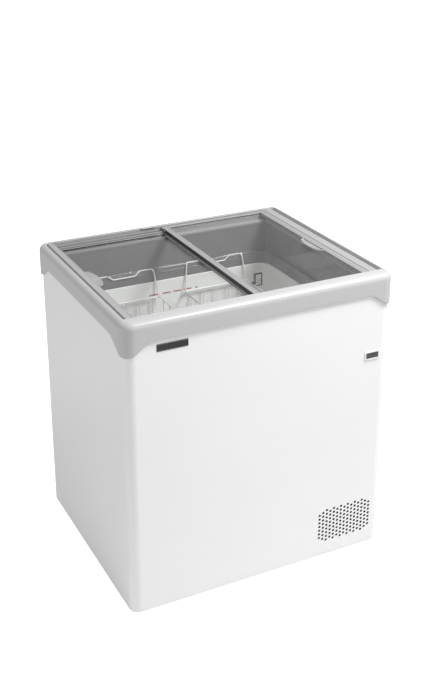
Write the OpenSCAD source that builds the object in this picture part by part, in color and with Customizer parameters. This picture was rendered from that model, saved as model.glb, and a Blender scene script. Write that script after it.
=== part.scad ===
// Small chest freezer with two flat sliding glass lids, hanging wire baskets and a
// compressor compartment low on the right. Millimetres, +Z up, front facing -Y,
// origin on the floor below the middle of the cabinet.

/* [Cabinet] */
// Width of the sheet-metal body
body_w = 768; // [740:1:800]
// Depth of the sheet-metal body
body_d = 640; // [620:1:670]
// Overall height above the floor
total_h = 845; // [835:1:870]
// Gap between the floor and the skirt of the body
skirt_gap = 14; // [12:1:16]
// Outer radius of the body's vertical corners
corner_r = 26; // [22:1:32]
// Thickness of the painted sheet
sheet_t = 1.2; // [0.8:0.1:1.5]

/* [Top frame] */
// How far the plastic top frame stands out from the body
frame_over = 6; // [5:0.5:8]
// Height of the frame's outer band between its corner lobes
band_h = 54; // [46:1:60]
// How much further the band reaches down at the corners
lobe_drop = 36; // [20:1:44]
// Radius of the frame's outer top edge
crown_r = 18; // [12:1:18]

/* [Lids] */
// Thickness of the lid glass
glass_t = 4; // [3:0.5:5]
// Width of the lids' end profiles
profile_w = 20; // [16:1:24]
// Length of the finger grip along the lid's end
grip_len = 112; // [90:1:140]
// How far the finger grip reaches over the glass
grip_reach = 22; // [14:1:28]

/* [Baskets] */
// Length of a basket across the cabinet
basket_w = 212; // [190:1:220]
// Depth of a basket from front to back
basket_d = 494; // [480:1:500]
// Height of a basket below its rim
basket_h = 230; // [150:1:240]
// Middle of the left basket
left_basket_x = -152; // [-160:1:-140]
// Middle of the right basket
right_basket_x = 143; // [135:1:155]

/* [Grille] */
// Diameter of the ventilation holes
vent_d = 8; // [5:0.5:9]
// Height between two holes of one column
vent_step_z = 12.2; // [11:0.1:14]
// Distance between two columns of holes
vent_step_x = 11.6; // [10:0.1:13]

/* [Castors] */
// Radius of the castor wheels
wheel_r = 16; // [14:0.5:16]
// How far the wheel trails its swivel axis
trail = 11; // [8:1:12]

/* [Hidden] */
$fn = 48;

grey = "#a9a9a9";
light_grey = "#bdbdbd";
white = "#f2f2f2";
dark = "#303030";
steel = "#9a9fa3";
copper = "#b87345";
eps = 0.01;

// Levels
shell_top = total_h - 15;         // top of the sheet and the foam
band_bottom = total_h - band_h;
pan_z = 50;                       // underside of the base pan
pan_t = 2;
rail_bottom = total_h - 31;
low_shelf = total_h - 25;         // track of the left lid
high_shelf = total_h - 15;        // track of the right lid
lip_z = total_h - 3.5;            // underside of the front lip
ledge_z = total_h - 121;          // shelf that the basket handles rest on
liner_top = total_h - 157;
liner_floor = pan_z + 50;
hump_top = 302;                   // top of the step over the machine compartment
hump_x = 106;                     // left face of that step
rim_z = total_h - 202;            // rim of the baskets

// Plan of the top opening, as half widths
frame_x = body_w / 2 + frame_over;
frame_y = body_d / 2 + frame_over;
strip_x = body_w / 2 - 22;        // outer side of the side strips
lid_stop_x = strip_x - 16.5;      // where the closed left lid meets its side strip
right_stop_x = strip_x - 24.5;    // the same for the right lid
sill_x = body_w / 2 - 58;         // inner edge of the side strips
rail_out = body_d / 2 - 12;       // outer side of the rails
high_out = rail_out - 5;
high_in = rail_out - 19;
throat_x = body_w / 2 - 50;
throat_y = body_d / 2 - 48;
ledge_w = 10;
liner_x = body_w / 2 - 65;
liner_y = body_d / 2 - 63;
liner_t = 1.5;
liner_r = 40;
coil_r = 4;
coil_gap = 9;

// Lids
running = 0.3;                    // gap under the gliding strips
lid_end = lid_stop_x - 1;
right_end = right_stop_x - 1;
left_w = 12;                      // width of the left lid's end profile
bar_over = 13;                    // how far the upper lid passes the middle
left_over = 7;                    // how far the lower lid passes the middle, hidden under the bar
seal_t = 2;                       // dark seal down the bar's free side
grip_y = [31, -27];               // middle of the left and of the right finger grip
right_glass_z = high_shelf + 3;
left_glass_z = low_shelf + 3;
right_lid_z = [high_shelf + 0.5, high_shelf + 10.5];
left_lid_z = [low_shelf + running, low_shelf + 8.8];
glass_bite = 8;                   // how deep the glass sits in its profiles

// Machine compartment
room_x = 150;
room_top = 262;
room_mid = 265;
fan_z = 134;
fan_y = -254;

// Castors: front left, front right, back left, back right
castor_x = body_w / 2 - 62;
castor_y = body_d / 2 - 62;
plate_z = 41;
plate_t = 3;
fork_gap = 0.3;
pin_play = 0.05;

drain = [-250, -190];

// ---------- helpers ----------
module slab(lo, hi) { translate(lo) cube(hi - lo); }

module rod(p, q, r) {
    v = q - p;
    translate(p) rotate([0, acos(v[2] / norm(v)), atan2(v[1], v[0])])
        cylinder(r = r, h = norm(v));
}

// Eight-sided wire through a list of points
module wire(points, r) {
    for (i = [0 : len(points) - 2]) rod(points[i], points[i + 1], r, $fn = 8);
}

module rounded_plan(hx, hy, r) {
    translate([-hx, -hy + r]) square([2 * hx, 2 * (hy - r)]);
    translate([-hx + r, -hy]) square([2 * (hx - r), 2 * hy]);
    for (sx = [-1, 1], sy = [-1, 1]) translate([sx * (hx - r), sy * (hy - r)]) circle(r = r);
}

module prism(hx, hy, r, z0, z1) {
    translate([0, 0, z0]) linear_extrude(z1 - z0) rounded_plan(hx, hy, r);
}

// A closed rectangle of round bar with quarter-circle corners
module wire_ring(hx, hy, bend, r) {
    for (s = [-1, 1]) {
        rod([-hx + bend, s * hy, 0], [hx - bend, s * hy, 0], r);
        rod([s * hx, -hy + bend, 0], [s * hx, hy - bend, 0], r);
    }
    for (c = [[1, 1, 0], [-1, 1, 90], [-1, -1, 180], [1, -1, 270]])
        translate([c[0] * (hx - bend), c[1] * (hy - bend), 0]) rotate([0, 0, c[2]])
            rotate_extrude(angle = 90) translate([bend, 0]) circle(r = r);
}

// ---------- body ----------
vent_counts = [for (i = [0 : 14]) i == 0 || i == 14 ? 7 : i % 2 == 1 ? 8 : 9];
vent_mid = [265, 110];
display_mid = [330, 614];
plate_mid = [-259, 768];

module vent_holes() {
    for (i = [0 : len(vent_counts) - 1], j = [0 : vent_counts[i] - 1])
        translate([vent_mid[0] + (i - 7) * vent_step_x, -body_d / 2 - 1,
                   vent_mid[1] + (j - (vent_counts[i] - 1) / 2) * vent_step_z])
            rotate([-90, 0, 0]) cylinder(d = vent_d, h = sheet_t + 2, $fn = 24);
}

back_open_x = body_w / 2 - 46;

module cabinet_wrap() color(white) difference() {
    prism(body_w / 2, body_d / 2, corner_r, skirt_gap, shell_top);
    prism(body_w / 2 - sheet_t, body_d / 2 - sheet_t, corner_r - sheet_t,
          skirt_gap - 1, shell_top + 1);
    slab([-back_open_x, body_d / 2 - 5, skirt_gap - 1],
         [back_open_x, body_d / 2 + 1, back_top - 8]);
    vent_holes();
    slab([display_mid[0] - 18, -body_d / 2 - 1, display_mid[1] - 10],
         [display_mid[0] + 18, -body_d / 2 + 5, display_mid[1] + 10]);
    for (p = screw_places) at_back(p, back_y - 5) cylinder(r = 2.1, h = 10);
}

back_t = 1;
back_top = band_bottom - 45;
back_y = body_d / 2;
back_edge_x = back_open_x + 16;
screw_places = [for (sx = [-1, 1], z = [60, 245, 430, 615, 735]) [sx * (back_open_x + 8), z]];
thermostat_mid = [185, 228];
gland_mid = [185, 92];

module at_back(p, y) { translate([p[0], y, p[1]]) rotate([-90, 0, 0]) children(); }

module back_panel() color(steel) difference() {
    slab([-back_edge_x, back_y, skirt_gap + 6], [back_edge_x, back_y + back_t, back_top]);
    for (p = screw_places) at_back(p, back_y - 1) cylinder(r = 2.2, h = 3);
    at_back(thermostat_mid, back_y - 1) cylinder(r = 6, h = 3);
    at_back(gland_mid, back_y - 1) cylinder(r = 8, h = 3);
    for (x = [218, 280], i = [0 : 11])
        slab([x, back_y - 1, 78 + 13 * i], [x + 52, back_y + 2, 84 + 13 * i]);
}

module back_panel_screws() color(steel) for (p = screw_places) {
    at_back(p, back_y + back_t) cylinder(r = 4, h = 2);
    at_back(p, back_y - sheet_t - 10) cylinder(r = 2, h = 10 + sheet_t + back_t);
}

module base_pan() color(steel) difference() {
    prism(body_w / 2 - sheet_t, body_d / 2 - sheet_t, corner_r - sheet_t, pan_z, pan_z + pan_t);
    translate([drain[0], drain[1], pan_z - 1]) cylinder(r = 10, h = pan_t + 2);
    castor_bolt_holes();
}

module castor_runners() color(steel) difference() {
    for (sx = [-1, 1]) slab([sx * castor_x - 32, -castor_y - 40, plate_z + plate_t],
                            [sx * castor_x + 32, castor_y + 40, pan_z]);
    castor_bolt_holes();
    at_castors() translate([0, 0, plate_z]) cylinder(r = 7, h = pan_z - plate_z - 2);
}

// ---------- inside ----------
// The storage space, grown outwards by g; the step over the machine compartment stays out
module storage_space(g) difference() {
    prism(liner_x + g, liner_y + g, liner_r + g, liner_floor - g, liner_top);
    slab([hump_x + g, -body_d, 0], [body_w, body_d, hump_top - g]);
}

// The foam is cut into blocks with hairline joints, so that every block is a plain convex one
foam_joint = 0.15;
foam_x = body_w / 2 - sheet_t;
foam_y = body_d / 2 - sheet_t;
shell_x = liner_x + liner_t;
shell_y = liner_y + liner_t;
shell_r = liner_r + liner_t;

module foam_block(lo, hi) intersection() {
    prism(foam_x, foam_y, corner_r - sheet_t, lo[2] + foam_joint, hi[2] - foam_joint);
    slab([lo[0] + foam_joint, lo[1] + foam_joint, 0], [hi[0] - foam_joint, hi[1] - foam_joint, total_h]);
}

// Under the liner, inside its outline
module foam_bed(lo, hi) intersection() {
    foam_block(lo, hi);
    prism(shell_x - foam_joint, shell_y - foam_joint, shell_r, lo[2], hi[2]);
}

// Two wedges that fill one rounded corner beside the liner
module foam_corner(sx, sy, z0, z1) {
    far = shell_r / cos(22.5);
    mid = far / sqrt(2);
    ex = foam_x - shell_x + shell_r;
    ey = foam_y - shell_y + shell_r;
    e = min(ex, ey);
    intersection() {
        prism(foam_x, foam_y, corner_r - sheet_t, z0 + foam_joint, z1 - foam_joint);
        mirror([sx < 0 ? 1 : 0, 0, 0]) mirror([0, sy < 0 ? 1 : 0, 0])
            translate([shell_x - shell_r, shell_y - shell_r, 0]) linear_extrude(total_h) {
                offset(delta = -foam_joint)
                    polygon([[far, 0], [ex, 0], [ex, ey], [e, e], [mid, mid]]);
                offset(delta = -foam_joint) polygon([[0, far], [mid, mid], [e, e], [0, ey]]);
            }
    }
}

module foam_blocks() {
    z0 = pan_z + pan_t;
    top = ledge_z - 4;
    over = room_top + 1;
    side = room_x - 1;
    cx = shell_x - shell_r;
    cy = shell_y - shell_r;
    foam_block([-foam_x, -cy, z0], [-shell_x, cy, top]);
    foam_block([shell_x, -cy, over], [foam_x, cy, top]);
    for (m = [0, 1]) mirror([0, m, 0]) {
        foam_block([-cx, -foam_y, z0], [side, -shell_y, top]);
        foam_block([side, -foam_y, over], [cx, -shell_y, top]);
        foam_block([-foam_x, -foam_y, top], [foam_x, -throat_y - 4, rail_bottom]);
    }
    for (m = [0, 1]) mirror([m, 0, 0])
        foam_block([-foam_x, -throat_y - 4, top], [-throat_x - 4, throat_y + 4, rail_bottom]);
    for (sx = [-1, 1], sy = [-1, 1]) foam_corner(sx, sy, sx < 0 ? z0 : over, top);
    // over and beside the machine compartment
    foam_bed([hump_x + liner_t, -shell_y, over], [shell_x, shell_y, hump_top - liner_t]);
    foam_bed([hump_x + liner_t, -shell_y, z0], [side, shell_y, over]);
    // floor of the well, around the drain
    bed = liner_floor - liner_t;
    foam_bed([-shell_x, -shell_y, z0], [drain[0] - 12, shell_y, bed]);
    foam_bed([drain[0] + 12, -shell_y, z0], [hump_x + liner_t, shell_y, bed]);
    foam_bed([drain[0] - 12, -shell_y, z0], [drain[0] + 12, drain[1] - 12, bed]);
    foam_bed([drain[0] - 12, drain[1] + 12, z0], [drain[0] + 12, shell_y, bed]);
}

module foam_insulation() color("#e8d9a0") difference() {
    foam_blocks();
    prism(throat_x - ledge_w + 4.2, throat_y - ledge_w + 4.2, 34, liner_top - 1, total_h);
    storage_space(liner_t);
    prism(liner_x + liner_t + coil_gap, liner_y + liner_t + coil_gap,
          liner_r + liner_t + coil_gap, hump_top + 14, ledge_z);
    slab([display_mid[0] - 20, -body_d / 2, display_mid[1] - 13],
         [display_mid[0] + 20, -body_d / 2 + 25, display_mid[1] + 13]);
    for (p = screw_places) at_back(p, back_y - sheet_t - 10.5) cylinder(r = 2.1, h = 12);
    castor_bolt_holes();
}

module inner_liner() color(white) difference() {
    union() {
        storage_space(liner_t);
        prism(liner_x + 9, liner_y + 9, liner_r + 9, liner_top - liner_t, liner_top);
    }
    storage_space(0);
    prism(liner_x, liner_y, liner_r, liner_top - 5, liner_top + 1);
    translate([drain[0], drain[1], 0]) cylinder(r = 8.2, h = liner_floor + 1);
}

coil_first = 330;
coil_step = 40;
coil_loops = 9;

module evaporator_coil() color(copper) {
    out = liner_t + 0.2 + coil_r;
    for (i = [0 : coil_loops - 1]) translate([0, 0, coil_first + i * coil_step])
        wire_ring(liner_x + out, liner_y + out, liner_r + out, coil_r);
    rod([-100, liner_y + out, coil_first],
        [-100, liner_y + out, coil_first + (coil_loops - 1) * coil_step], coil_r);
}

module throat_frame() color("#858585") difference() {
    union() {
        prism(throat_x + 4, throat_y + 4, 12, ledge_z - 4, rail_bottom);
        prism(throat_x - ledge_w + 4, throat_y - ledge_w + 4, 34, liner_top, ledge_z - 1);
    }
    prism(throat_x, throat_y, 8, ledge_z, rail_bottom + 1);
    prism(throat_x - ledge_w, throat_y - ledge_w, 30, liner_top - 1, ledge_z + 1);
}

// ---------- top frame ----------
// Rounded bead in section: x inwards from the outer face, y upwards
module crown_section() {
    square([frame_over, shell_top - band_bottom + lobe_drop]);
    translate([0, shell_top - band_bottom + lobe_drop]) intersection() {
        square([crown_r, total_h - shell_top]);
        union() {
            translate([crown_r, total_h - shell_top - crown_r]) circle(r = crown_r, $fn = 96);
            translate([0, -crown_r]) square([crown_r, total_h - shell_top]);
        }
    }
}

module crown_run(length) rotate([90, 0, 90]) translate([0, 0, -length / 2])
    linear_extrude(length) crown_section();

frame_r = corner_r + frame_over;

module crown_ring() translate([0, 0, band_bottom - lobe_drop]) {
    for (s = [0, 180]) rotate([0, 0, s]) {
        translate([0, -frame_y, 0]) crown_run(2 * (frame_x - frame_r));
        rotate([0, 0, 90]) translate([0, -frame_x, 0]) crown_run(2 * (frame_y - frame_r));
    }
    for (c = [[1, 1, 0], [-1, 1, 90], [-1, -1, 180], [1, -1, 270]])
        translate([c[0] * (frame_x - frame_r), c[1] * (frame_y - frame_r), 0])
            rotate([0, 0, c[2]]) rotate_extrude(angle = 90)
                translate([frame_r, 0]) mirror([1, 0]) crown_section();
}

// How far the band reaches below its straight edge, at a distance from the corner
function lobe(s, s0, s1) = s < s0 ? lobe_drop : s > s1 ? 0 :
    lobe_drop * (1 + cos(180 * (s - s0) / (s1 - s0))) / 2;

// The window under the band's straight edge, with its S-shaped ends
module band_window(half, s0, s1) {
    steps = 20;
    ends = [for (i = [0 : steps]) s0 + (s1 - s0) * i / steps];
    left = [for (s = ends) [-half + s, band_bottom - lobe(s, s0, s1)]];
    right = [for (i = [steps : -1 : 0]) [half - ends[i], band_bottom - lobe(ends[i], s0, s1)]];
    polygon(concat([[-half + s0, band_bottom - lobe_drop - 5]], left, right,
                   [[half - s0, band_bottom - lobe_drop - 5]]));
}

module top_frame() color(grey) difference() {
    union() {
        crown_ring();
        difference() {
            prism(frame_x - 10, frame_y - 10, frame_r - 10, shell_top, shell_top + 6);
            slab([-strip_x, -rail_out, 0], [strip_x, rail_out, total_h + 1]);
        }
        slab([-strip_x - 10, -rail_out - eps, lip_z], [strip_x + 10, -rail_out + 24, total_h]);
    }
    rotate([90, 0, 0]) translate([0, 0, -body_d])
        linear_extrude(2 * body_d) band_window(frame_x, 8, 80);
    rotate([90, 0, 90]) translate([0, 0, -body_w])
        linear_extrude(2 * body_w) band_window(frame_y, 14, 100);
}

module rail(wall_top) rotate([90, 0, 90]) translate([0, 0, -lid_stop_x])
    linear_extrude(lid_stop_x + right_stop_x) polygon([[throat_y, rail_bottom], [rail_out, rail_bottom],
        [rail_out, wall_top], [high_out, wall_top], [high_out, high_shelf],
        [high_in, high_shelf], [high_in, low_shelf], [throat_y, low_shelf]]);

module back_rail() color(light_grey) rail(total_h - 2);
module front_rail() color(light_grey) mirror([0, 1, 0]) rail(lip_z - running);

module rail_clip() color(grey) {
    for (x = [-72, -34]) translate([x, rail_out - 5, total_h - 2]) cylinder(r = 5, h = 2);
    slab([-72, rail_out - 10, total_h - 2], [-34, rail_out, total_h]);
}

// side: 1 on the right, -1 on the left; sill: the level that the closed lid's end lies over
module side_strip(side, stop, sill) mirror([side < 0 ? 1 : 0, 0, 0]) {
    translate([0, 0, rail_bottom]) linear_extrude(lip_z - 0.5 - rail_bottom)
        polygon([[stop, -rail_out], [strip_x - 5, -rail_out], [strip_x, -rail_out + 5],
                 [strip_x, rail_out - 5], [strip_x - 5, rail_out], [stop, rail_out]]);
    slab([sill_x, -throat_y, rail_bottom], [stop + eps, throat_y, sill]);
}

module left_side_strip() color(light_grey) side_strip(-1, lid_stop_x, low_shelf);
module right_side_strip() color(light_grey) side_strip(1, right_stop_x, high_shelf);

// ---------- lids ----------
right_in = high_in + 0.5;
right_out = high_out - 0.5;
left_in = throat_y + 2;
left_out = high_in - 0.5;

module lid_glass(x0, x1, half_y, z, w = profile_w) color("#d5dcdc", 0.35)
    slab([x0 + w - glass_bite, -half_y, z], [x1 - profile_w + glass_bite, half_y, z + glass_t]);

module lid_profile(x0, half_y, z, glass_z, slot_x, w = profile_w) difference() {
    slab([x0, -half_y, z[0]], [x0 + w, half_y, z[1]]);
    slab([slot_x, -half_y - 1, glass_z], [slot_x + glass_bite, half_y + 1, glass_z + glass_t]);
}

module lid_glides(x0, x1, y0, y1, z, glass_z, glass_y, w = profile_w) for (s = [-1, 1]) difference() {
    slab([x0, s > 0 ? y0 : -y1, z[0]], [x1, s > 0 ? y1 : -y0, z[1]]);
    slab([x0 + w - glass_bite, -glass_y, glass_z],
         [x1 - profile_w + glass_bite, glass_y, glass_z + glass_t]);
}

// Segment of a round dish with a shallow finger pocket
module lid_grip(edge_x, side, z, top) {
    r = (pow(grip_len / 2, 2) + pow(grip_reach, 2)) / (2 * grip_reach);
    translate([edge_x, 0, z]) mirror([side > 0 ? 0 : 1, 0, 0]) difference() {
        intersection() {
            translate([r - grip_reach, 0, 0]) cylinder(r = r, h = top - z, $fn = 96);
            translate([-grip_reach - 1, -grip_len, 0]) cube([grip_reach + 1, 2 * grip_len, top - z]);
        }
        intersection() {
            translate([r - grip_reach, 0, 0.8]) cylinder(r = r - 3, h = top, $fn = 96);
            translate([-grip_reach - 1, -grip_len, 0.8]) cube([grip_reach - 2, 2 * grip_len, top]);
        }
    }
}

module right_lid_glass() lid_glass(-bar_over, right_end, right_out - 4, right_glass_z);
module right_lid_end_profile() color(light_grey)
    lid_profile(right_end - profile_w, right_in - 0.2, right_lid_z, right_glass_z, right_end - profile_w);
module right_lid_centre_bar() color(light_grey) difference() {
    lid_profile(-bar_over, right_in - 0.2, right_lid_z, right_glass_z,
                -bar_over + profile_w - glass_bite);
    slab([-bar_over - 1, -body_d, 0], [-bar_over + seal_t, body_d, total_h]);
}
module right_lid_glides() color(light_grey)
    lid_glides(-bar_over, right_end, right_in, right_out, [high_shelf + running, high_shelf + 10],
               right_glass_z, right_out - 4);
module right_lid_grip() color(light_grey)
    translate([0, grip_y[1], 0]) lid_grip(right_end - profile_w, 1, right_glass_z + glass_t, right_lid_z[1]);
module right_lid_brush() color(dark)
    slab([-bar_over, -throat_y + 2, left_lid_z[1] + running],
         [-bar_over + seal_t, throat_y - 2, right_lid_z[1] - 1]);

module left_lid_glass() lid_glass(-lid_end, left_over, left_out - 4, left_glass_z, left_w);
module left_lid_end_profile() color(light_grey)
    lid_profile(-lid_end, left_in - 0.2, left_lid_z, left_glass_z,
                -lid_end + left_w - glass_bite, left_w);
module left_lid_inner_profile() color(light_grey)
    lid_profile(left_over - profile_w, left_in - 0.2, left_lid_z, left_glass_z, left_over - profile_w);
module left_lid_glides() color(light_grey)
    lid_glides(-lid_end, left_over, left_in, left_out, left_lid_z, left_glass_z, left_out - 4, left_w);
module left_lid_grip() color(light_grey)
    translate([0, grip_y[0], 0]) lid_grip(-lid_end + left_w, -1, left_glass_z + glass_t, left_lid_z[1]);

// ---------- baskets ----------
rim_r = 2.5;
wire_r = 1.8;
hanger_r = 2.2;

// A closed rectangle of wire with its corners cut off by c
module wire_loop(hx, hy, c, r) wire([[-hx + c, -hy, 0], [hx - c, -hy, 0], [hx, -hy + c, 0],
    [hx, hy - c, 0], [hx - c, hy, 0], [-hx + c, hy, 0], [-hx, hy - c, 0], [-hx, -hy + c, 0],
    [-hx + c, -hy, 0], [hx - c, -hy, 0]], r);

// Handle whose ends bend out over the ledge; its middle dips for the fingers
module basket_handle() {
    top = ledge_z + hanger_r + running - rim_z;
    post_y = throat_y - ledge_w - 3.5;
    rest_y = throat_y - 5;
    half = [for (p = [[2, basket_d / 2 - 2, 0], [13, post_y, top], [19, rest_y, top],
                      [54, rest_y, top], [60, post_y, top], [72, post_y, top - 10]])
            [basket_w / 2 - p[0], p[1], p[2]]];
    last = len(half) - 1;
    wire(concat(half, [for (i = [last : -1 : 0]) [-half[i][0], half[i][1], half[i][2]]]), hanger_r);
}

module basket() color(white) translate([0, 0, rim_z]) {
    hx = basket_w / 2;
    hy = basket_d / 2;
    low = -basket_h;
    wire_loop(hx, hy, 4, rim_r);
    translate([0, 0, low / 2]) wire_loop(hx, hy, 4, wire_r);
    for (i = [-5 : 5]) wire([[-hx, i * 43, 0], [-hx, i * 43, low], [hx, i * 43, low],
                             [hx, i * 43, 0]], wire_r);
    for (i = [-2 : 2]) wire([[i * 42, -hy, 0], [i * 42, -hy, low + 0.5],
                             [i * 42, hy, low + 0.5], [i * 42, hy, 0]], wire_r);
    basket_handle();
    mirror([0, 1, 0]) basket_handle();
}

module left_basket() translate([left_basket_x, 0, 0]) basket();
module right_basket() translate([right_basket_x, 0, 0]) basket();

// Small thermometer clipped on the right basket's end
clip_y = 204;
module basket_thermometer() color(dark) {
    x = right_basket_x + basket_w / 2 + rim_r;
    slab([x, clip_y - 9, rim_z - 8], [x + 2, clip_y + 9, rim_z + 6]);
    slab([x - 5, clip_y - 9, rim_z + rim_r + 0.2], [x + 2, clip_y + 9, rim_z + 6]);
    slab([x, clip_y - 5, rim_z - 5], [x + 26, clip_y + 3, rim_z + 35]);
}

module load_limit_strip() color("#a02020")
    slab([-66, liner_y - 0.4, rim_z + 1], [77, liner_y, rim_z + 6]);

// ---------- front fittings ----------
module name_plate() color(dark) translate([plate_mid[0], -body_d / 2, plate_mid[1]])
    rotate([90, 0, 0]) linear_extrude(1.5) rounded_plan(42.5, 11, 2);

module display_bezel() color(white) translate([display_mid[0], -body_d / 2, display_mid[1]])
    rotate([90, 0, 0]) difference() {
        linear_extrude(3) rounded_plan(23, 12, 2);
        translate([0, 0, 1]) linear_extrude(3) rounded_plan(19, 8, 0.5);
    }

module display_window() color(dark) translate([display_mid[0], -body_d / 2 - 1, display_mid[1]])
    rotate([90, 0, 0]) linear_extrude(1.6) rounded_plan(19, 8, 0.5);

module display_module() color(dark) {
    slab([display_mid[0] - 20, -body_d / 2 + sheet_t, display_mid[1] - 13],
         [display_mid[0] + 20, -body_d / 2 + 24, display_mid[1] + 13]);
    slab([display_mid[0] - 18, -body_d / 2, display_mid[1] - 10],
         [display_mid[0] + 18, -body_d / 2 + sheet_t + eps, display_mid[1] + 10]);
}

// ---------- machine compartment ----------
module machine_bulkhead() color(steel) intersection() {
    prism(body_w / 2 - sheet_t, body_d / 2 - sheet_t, corner_r - sheet_t,
          pan_z + pan_t, room_top + 1);
    difference() {
        slab([room_x - 1, -body_d, 0], [body_w, body_d, total_h]);
        slab([room_x, -body_d - 1, -1], [body_w + 1, body_d + 1, room_top]);
    }
}

pump = [262, 130];
pump_z = pan_z + pan_t + 12;
pump_r = 68;

module compressor_shell() color("#202224") translate([pump[0], pump[1], pump_z]) {
    slab([-84, -62, 0], [84, 62, 2]);
    translate([0, 0, 2 - eps]) cylinder(r = pump_r, h = 96, $fn = 96);
    translate([0, 0, 98 - 2 * eps]) intersection() {
        cylinder(r = pump_r, h = 60, $fn = 96);
        translate([0, 0, -30]) sphere(r = pump_r + 8, $fn = 96);
    }
}

module compressor_feet() color(dark) for (sx = [-1, 1], sy = [-1, 1])
    translate([pump[0] + sx * 74, pump[1] + sy * 52, pan_z + pan_t])
        cylinder(r = 9, h = pump_z - pan_z - pan_t);

module compressor_terminal_box() color(dark) difference() {
    slab([pump[0] - 92, pump[1] - 24, pump_z + 30], [pump[0] - 60, pump[1] + 24, pump_z + 92]);
    translate([pump[0], pump[1], 0]) cylinder(r = pump_r, h = total_h, $fn = 96);
}

tube_r = 4;
tube_count = 6;
tube_step = 22;
coil_x = [172, 358];
coil_y = -288;
coil_z = 80;

module condenser_fins() color(steel) for (i = [0 : 24])
    translate([coil_x[0] + 6 + i * 7.2, 0, 0]) rotate([90, 0, 90]) linear_extrude(0.8)
        difference() {
            translate([coil_y - 18, coil_z - 12]) square([36, tube_step * (tube_count - 1) + 24]);
            for (k = [0 : tube_count - 1]) translate([coil_y, coil_z + k * tube_step])
                circle(r = tube_r + 0.05);
        }

module condenser_tube() color(copper) {
    for (k = [0 : tube_count - 1]) let (z = coil_z + k * tube_step)
        rod([coil_x[0], coil_y, z], [coil_x[1], coil_y, z], tube_r);
    for (k = [0 : tube_count - 2]) let (right = k % 2 == 0)
        translate([coil_x[right ? 1 : 0], coil_y, coil_z + (k + 0.5) * tube_step])
            rotate([90, right ? 90 : -90, 0]) rotate_extrude(angle = 180)
                translate([tube_step / 2, 0]) circle(r = tube_r);
}

fan_r = 60;

module fan_shroud() color(dark) difference() {
    union() {
        slab([room_mid - 98, fan_y - 12, coil_z - 12], [room_mid + 98, fan_y - 10, coil_z + 122]);
        translate([room_mid, fan_y - 12, fan_z]) rotate([-90, 0, 0]) cylinder(r = fan_r + 6, h = 22);
        for (sx = [-1, 1]) slab([room_mid + sx * 88 - 8, fan_y - 12, pan_z + pan_t],
                                [room_mid + sx * 88 + 8, fan_y - 9, coil_z]);
    }
    translate([room_mid, fan_y - 13, fan_z]) rotate([-90, 0, 0]) cylinder(r = fan_r + 3, h = 30);
}

shaft_r = 3;

module fan_motor() color(dark) translate([room_mid, fan_y, fan_z]) {
    rotate([-90, 0, 0]) difference() {
        translate([0, 0, 16]) cylinder(r = 24, h = 38);
        translate([0, 0, 15]) cylinder(r = shaft_r + pin_play, h = 16);
    }
    for (a = [45, 135, 225, 315])
        rod([22 * cos(a), 19.5, 22 * sin(a)], [(fan_r + 4) * cos(a), 12.1, (fan_r + 4) * sin(a)], 2);
}

module fan_blades() color(steel) translate([room_mid, fan_y, fan_z]) {
    rotate([-90, 0, 0]) translate([0, 0, -7]) cylinder(r = 16, h = 14);
    rotate([-90, 0, 0]) cylinder(r = shaft_r, h = 28);
    for (k = [0 : 4]) rotate([0, k * 72, 0]) rotate([28, 0, 0])
        slab([12, -0.8, -13], [fan_r - 1, 0.8, 13]);
}

drier = [176, -60, 110];

module filter_drier() color(copper) {
    translate(drier) cylinder(r = 9, h = 70);
    for (z = [-8, 70]) translate(drier + [0, 0, z]) cylinder(r = 5, h = 8);
}

line_r = 3;

module refrigerant_lines() color(copper) {
    // hot gas, from the compressor to the top of the condenser
    wire([[pump[0] + 40, pump[1] - 57.4, pump_z + 60], [pump[0] + 40, pump[1] - 90, pump_z + 60],
          [pump[0] + 40, pump[1] - 90, 232], [coil_x[0] + 2, fan_y - 24, 232],
          [coil_x[0] - 8, coil_y, 232],
          [coil_x[0] - 8, coil_y, coil_z + (tube_count - 1) * tube_step],
          [coil_x[0] - 0.5, coil_y, coil_z + (tube_count - 1) * tube_step]], line_r);
    // liquid, from the bottom of the condenser to the drier and on to the bulkhead
    wire([[coil_x[0] - 0.5, coil_y, coil_z], [coil_x[0] - 12, coil_y, coil_z],
          [coil_x[0] - 12, drier[1], coil_z], [drier[0], drier[1], coil_z],
          [drier[0], drier[1], drier[2] - 8.5]], line_r);
    wire([[drier[0], drier[1], drier[2] + 78.5], [drier[0], drier[1], 215],
          [room_x + 0.5, drier[1], 215]], line_r);
    // suction, from the bulkhead back to the compressor
    wire([[room_x + 0.5, 20, 200], [pump[0], 20, 200], [pump[0], 20, pump_z + 60],
          [pump[0], pump[1] - pump_r, pump_z + 60]], line_r);
}

// ---------- fittings at the back ----------
module thermostat_body() color(dark) difference() {
    slab([thermostat_mid[0] - 20, back_y - 36, thermostat_mid[1] - 20],
         [thermostat_mid[0] + 20, back_y - 6, thermostat_mid[1] + 20]);
    at_back(thermostat_mid, back_y - 20) cylinder(r = shaft_r + pin_play, h = 30);
    for (x = [-12, 12]) at_back(thermostat_mid + [x, 14], back_y - 16) cylinder(r = 2.1, h = 30);
}

module thermostat_knob() color(dark) {
    at_back(thermostat_mid, back_y + back_t + 0.4) difference() {
        cylinder(r = 14, h = 4.4);
        translate([0, 11, 3.6]) cylinder(r = 1.5, h = 2);
    }
    at_back(thermostat_mid, back_y - 18) cylinder(r = shaft_r, h = 20);
    for (a = [0 : 20 : 340]) at_back(thermostat_mid, back_y + back_t + 0.4)
        rotate([0, 0, a]) slab([12, -0.9, 0], [14.6, 0.9, 4.4]);
}

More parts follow.
